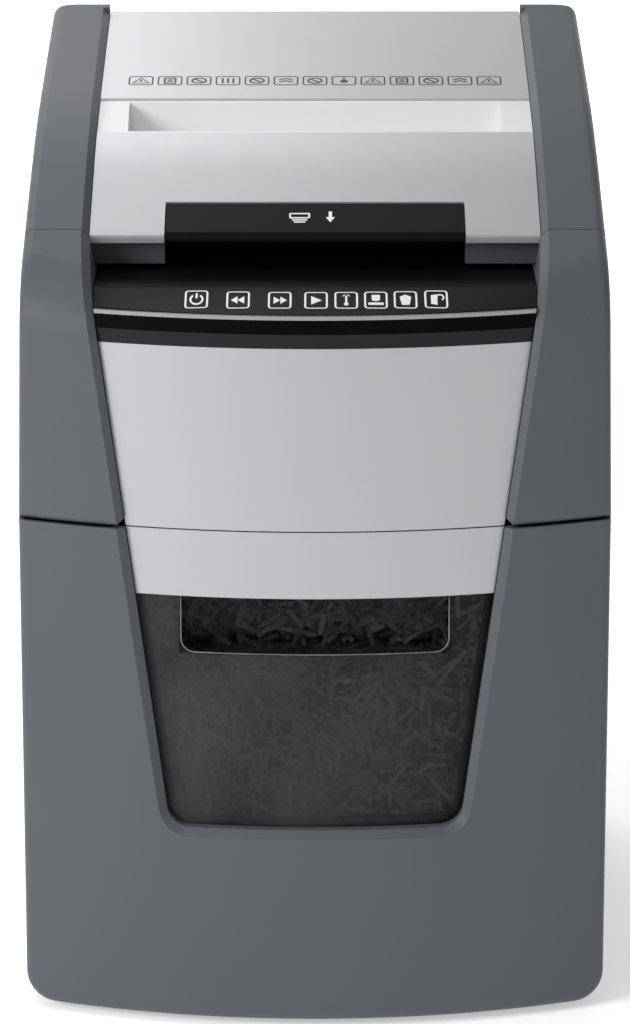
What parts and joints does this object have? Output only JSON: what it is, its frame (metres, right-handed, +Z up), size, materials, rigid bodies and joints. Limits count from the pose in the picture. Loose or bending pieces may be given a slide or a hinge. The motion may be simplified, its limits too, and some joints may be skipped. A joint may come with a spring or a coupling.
{
  "type": "paper_shredder",
  "caption": "Office paper shredder with an auto-feed lid, a manual feed slot, twin cutter shafts, gear drive and a pull-out bin with a smoky window",
  "frame": {"origin": "on the floor, at the middle of the footprint", "axes": "+X to the right, -Y to the front, +Z up"},
  "size_m": [0.345, 0.406, 0.5422],
  "materials": {
    "casing_grey": "satin",
    "black_plastic": "satin",
    "gloss_black": "gloss",
    "silver_panel": "satin",
    "pale_plastic": "satin",
    "smoky_window": "gloss",
    "paper": "matte",
    "steel": "satin",
    "nylon": "satin",
    "bronze": "satin",
    "rubber": "matte",
    "board_green": "satin",
    "motor_paint": "satin"
  },
  "bodies": {
    "cabinet": {"base_tray": "casing_grey", "bin_runners": "black_plastic", "rubber_feet": "rubber", "cabinet_shell": "casing_grey", "head_shell": "casing_grey", "head_base": "black_plastic", "hinge_pins": "steel", "front_panel": "silver_panel", "control_skirt": "casing_grey", "display_band": "gloss_black", "control_trim": "pale_plastic", "control_panel": "black_plastic", "display_board": "board_green", "feed_tray": "black_plastic", "rear_panel": "black_plastic", "switch_bezel": "black_plastic", "cord_gland": "black_plastic", "cutter_frame_left": "steel", "cutter_frame_right": "steel", "tie_bars": "steel", "shaft_bushes": "bronze", "stripper_comb_front": "nylon", "stripper_comb_rear": "nylon", "motor_body": "motor_paint", "control_board": "board_green", "bin_switch": "black_plastic"},
    "bin": {"bin_fascia": "casing_grey", "bin_handle_strip": "silver_panel", "bin_window": "smoky_window", "bin_tub": "black_plastic", "bin_screws": "steel", "paper_shreds": "paper"},
    "lid": {"lid_frame": "casing_grey", "lid_rear_panel": "silver_panel", "lid_front_panel": "silver_panel", "manual_slot_throat": "pale_plastic", "lid_liner": "black_plastic", "grip_pocket": "black_plastic"},
    "lever": {"lid_release_lever": "black_plastic"},
    "presser": {"pressure_plate": "black_plastic"},
    "rocker": {"power_switch": "black_plastic"},
    "cutter_front": {"cutter_shaft_front": "steel", "cutter_discs_front": "steel", "sync_gear_front": "steel", "feed_gear_front": "nylon"},
    "cutter_rear": {"cutter_shaft_rear": "steel", "cutter_discs_rear": "steel", "sync_gear_rear": "steel", "feed_gear_rear": "nylon", "drive_gear": "nylon"},
    "intermediate": {"intermediate_gear": "nylon"},
    "motor_rotor": {"motor_pinion": "steel"},
    "idler_front_wheel": {"idler_front": "nylon"},
    "idler_rear_wheel": {"idler_rear": "nylon"},
    "pickup_front": {"pickup_shaft_front": "steel", "pickup_rollers_front": "rubber", "pickup_gear_front": "nylon"},
    "pickup_rear": {"pickup_shaft_rear": "steel", "pickup_rollers_rear": "rubber", "pickup_gear_rear": "nylon"}
  },
  "joints": [
    {"name": "bin_slide", "type": "slide", "parent": "cabinet", "child": "bin", "axis": [0, -1, 0], "range_m": [0, 0.3]},
    {"name": "lid_hinge", "type": "hinge", "parent": "cabinet", "child": "lid", "pos_m": [0, 0.198, 0.50819], "axis": [-1, 0, 0], "range_deg": [0, 65]},
    {"name": "lever_hinge", "type": "hinge", "parent": "lid", "child": "lever", "pos_m": [0, -0.0885, 0.46677], "axis": [-1, 0, 0], "range_deg": [0, 12], "stiffness_Nm_per_rad": 0.3, "springref_deg": -11.46},
    {"name": "plate_slide", "type": "slide", "parent": "lid", "child": "presser", "axis": [0, 0, 1], "range_m": [0, 0.008], "stiffness_N_per_m": 150, "springref_m": -0.01},
    {"name": "rocker_hinge", "type": "hinge", "parent": "cabinet", "child": "rocker", "pos_m": [-0.08, 0.1975, 0.354], "axis": [1, 0, 0], "range_deg": [0, 20]},
    {"name": "cutter_rear_spin", "type": "hinge", "parent": "cabinet", "child": "cutter_rear", "pos_m": [0, 0.0325, 0.368], "axis": [1, 0, 0], "continuous": true},
    {"name": "cutter_front_spin", "type": "hinge", "parent": "cabinet", "child": "cutter_front", "pos_m": [0, -0.0025, 0.368], "axis": [1, 0, 0], "continuous": true},
    {"name": "intermediate_spin", "type": "hinge", "parent": "cabinet", "child": "intermediate", "pos_m": [0, 0.07682, 0.37581], "axis": [1, 0, 0], "continuous": true},
    {"name": "motor_spin", "type": "hinge", "parent": "cabinet", "child": "motor_rotor", "pos_m": [0, 0.11159, 0.3665], "axis": [1, 0, 0], "continuous": true},
    {"name": "idler_rear_spin", "type": "hinge", "parent": "cabinet", "child": "idler_rear_wheel", "pos_m": [0, 0.05887, 0.38523], "axis": [1, 0, 0], "continuous": true},
    {"name": "pickup_rear_spin", "type": "hinge", "parent": "cabinet", "child": "pickup_rear", "pos_m": [0, 0.044, 0.413], "axis": [1, 0, 0], "continuous": true},
    {"name": "idler_front_spin", "type": "hinge", "parent": "cabinet", "child": "idler_front_wheel", "pos_m": [0, -0.02887, 0.38523], "axis": [1, 0, 0], "continuous": true},
    {"name": "pickup_front_spin", "type": "hinge", "parent": "cabinet", "child": "pickup_front", "pos_m": [0, -0.014, 0.413], "axis": [1, 0, 0], "continuous": true}
  ],
  "couplings": [
    {"joint": "cutter_front_spin", "follows": "cutter_rear_spin", "ratio": -1},
    {"joint": "intermediate_spin", "follows": "cutter_rear_spin", "ratio": -4},
    {"joint": "motor_spin", "follows": "cutter_rear_spin", "ratio": 20},
    {"joint": "idler_rear_spin", "follows": "cutter_rear_spin", "ratio": -1.3333},
    {"joint": "pickup_rear_spin", "follows": "cutter_rear_spin", "ratio": 1},
    {"joint": "idler_front_spin", "follows": "cutter_rear_spin", "ratio": 1.3333},
    {"joint": "pickup_front_spin", "follows": "cutter_rear_spin", "ratio": -1}
  ]
}
